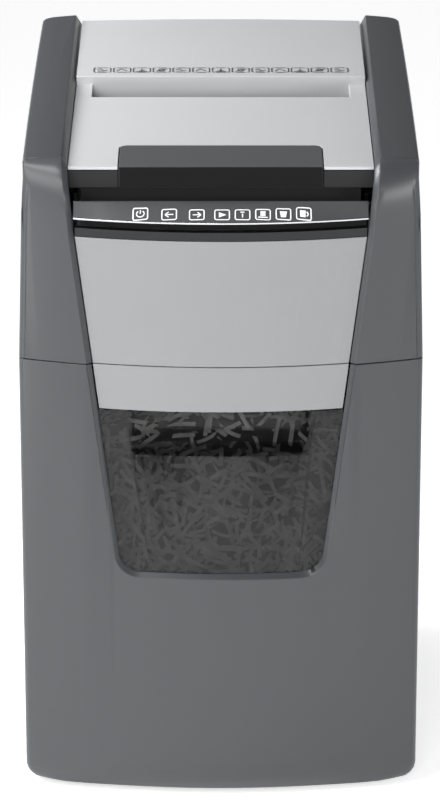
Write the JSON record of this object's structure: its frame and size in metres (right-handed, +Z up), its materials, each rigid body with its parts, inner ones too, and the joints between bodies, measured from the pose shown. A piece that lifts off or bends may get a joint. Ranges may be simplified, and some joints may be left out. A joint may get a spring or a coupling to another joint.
{
  "type": "auto-feed paper shredder",
  "caption": "Auto-feed floor shredder: dark cabinet with pull-out windowed bin, silver fascia, slanted control panel and rear-hinged lid with a manual paper slot.",
  "frame": {"origin": "on the floor, at the middle of the bounding box's base", "axes": "+Z up, front face towards -Y, +X to the viewer's right"},
  "size_m": [0.3428, 0.4101, 0.6106],
  "materials": {
    "dark_grey_abs": "fine moulded texture, satin dark grey",
    "silver_painted_abs": "silver painted plastic, satin",
    "black_abs": "moulded black plastic",
    "gloss_black_abs": "polished black plastic",
    "smoked_polycarbonate": "smoked clear plastic",
    "chrome_trim": "bright plated trim",
    "steel": "machined steel",
    "motor_steel": "black painted steel can",
    "rubber": "moulded rubber",
    "circuit_board": "solder-masked laminate"
  },
  "bodies": {
    "housing": {"cabinet_left_panel": "dark_grey_abs", "cabinet_right_panel": "dark_grey_abs", "cabinet_back_panel": "dark_grey_abs", "head_left_side": "dark_grey_abs", "head_right_side": "dark_grey_abs", "head_back_cover": "dark_grey_abs", "front_fascia": "silver_painted_abs", "base_plate": "black_abs", "head_chassis": "black_abs", "fascia_strip": "black_abs", "control_panel": "black_abs", "feed_tray": "black_abs", "power_switch_housing": "black_abs", "lid_interlock_switch": "black_abs", "chrome_trim": "chrome_trim", "bin_rail_left": "steel", "bin_rail_right": "steel", "cutter_frame_left": "steel", "cutter_frame_right": "steel", "bearing_front_left": "steel", "bearing_front_right": "steel", "bearing_rear_left": "steel", "bearing_rear_right": "steel", "stripper_comb_front": "steel", "stripper_comb_rear": "steel", "tie_rod_front": "steel", "tie_rod_rear": "steel", "hinge_pin_left": "steel", "hinge_pin_right": "steel", "motor_body": "motor_steel", "foot_front_left": "rubber", "foot_front_right": "rubber", "foot_rear_left": "rubber", "foot_rear_right": "rubber", "cord_gland": "rubber", "main_board": "circuit_board"},
    "bin": {"bin_front_panel": "dark_grey_abs", "bin_band": "silver_painted_abs", "bin_window": "smoked_polycarbonate", "bin_tub": "black_abs"},
    "lid": {"lid_frame": "black_abs", "lid_front_plate": "silver_painted_abs", "lid_rear_plate": "silver_painted_abs", "lid_arm_left": "dark_grey_abs", "lid_arm_right": "dark_grey_abs", "lid_handle": "gloss_black_abs"},
    "press": {"press_plate": "black_abs"},
    "rocker": {"power_rocker": "gloss_black_abs"},
    "cutter_front": {"cutter_roll_front": "steel", "cutter_gear_front": "steel"},
    "cutter_rear": {"cutter_roll_rear": "steel", "cutter_gear_rear": "steel"},
    "reduction": {"reduction_gear": "steel"},
    "pinion": {"motor_pinion": "steel"},
    "pickup_front": {"pickup_roller_front": "rubber"},
    "pickup_rear": {"pickup_roller_rear": "rubber"}
  },
  "joints": [
    {"name": "lid_hinge", "type": "hinge", "parent": "housing", "child": "lid", "pos_m": [0, 0.184, 0.555], "axis": [-1, 0, 0], "range_deg": [0, 70]},
    {"name": "press_plate_travel", "type": "slide", "parent": "lid", "child": "press", "axis": [0, 0, 1], "range_m": [0, 0.008], "stiffness_N_per_m": 250, "springref_m": -0.01},
    {"name": "bin_slide", "type": "slide", "parent": "housing", "child": "bin", "axis": [0, -1, 0], "range_m": [0, 0.34]},
    {"name": "power_rocker_tilt", "type": "hinge", "parent": "housing", "child": "rocker", "pos_m": [0.105, 0.19614, 0.432], "axis": [1, 0, 0], "range_deg": [0, 18]},
    {"name": "cutter_front_spin", "type": "hinge", "parent": "housing", "child": "cutter_front", "pos_m": [0, -0.022, 0.47], "axis": [1, 0, 0], "continuous": true},
    {"name": "cutter_rear_spin", "type": "hinge", "parent": "housing", "child": "cutter_rear", "pos_m": [0, 0.016, 0.47], "axis": [1, 0, 0], "continuous": true},
    {"name": "reduction_spin", "type": "hinge", "parent": "housing", "child": "reduction", "pos_m": [0.13, 0.0445, 0.47], "axis": [1, 0, 0], "continuous": true},
    {"name": "motor_spin", "type": "hinge", "parent": "housing", "child": "pinion", "pos_m": [0.13, 0.092, 0.47], "axis": [1, 0, 0], "continuous": true},
    {"name": "pickup_front_spin", "type": "hinge", "parent": "housing", "child": "pickup_front", "pos_m": [0, -0.0155, 0.505], "axis": [1, 0, 0], "continuous": true},
    {"name": "pickup_rear_spin", "type": "hinge", "parent": "housing", "child": "pickup_rear", "pos_m": [0, 0.0095, 0.5074], "axis": [1, 0, 0], "continuous": true}
  ],
  "couplings": [
    {"joint": "cutter_rear_spin", "follows": "cutter_front_spin", "ratio": -1},
    {"joint": "reduction_spin", "follows": "cutter_front_spin", "ratio": 2},
    {"joint": "motor_spin", "follows": "cutter_front_spin", "ratio": -8},
    {"joint": "pickup_front_spin", "follows": "cutter_front_spin", "ratio": 1},
    {"joint": "pickup_rear_spin", "follows": "cutter_front_spin", "ratio": -1}
  ]
}
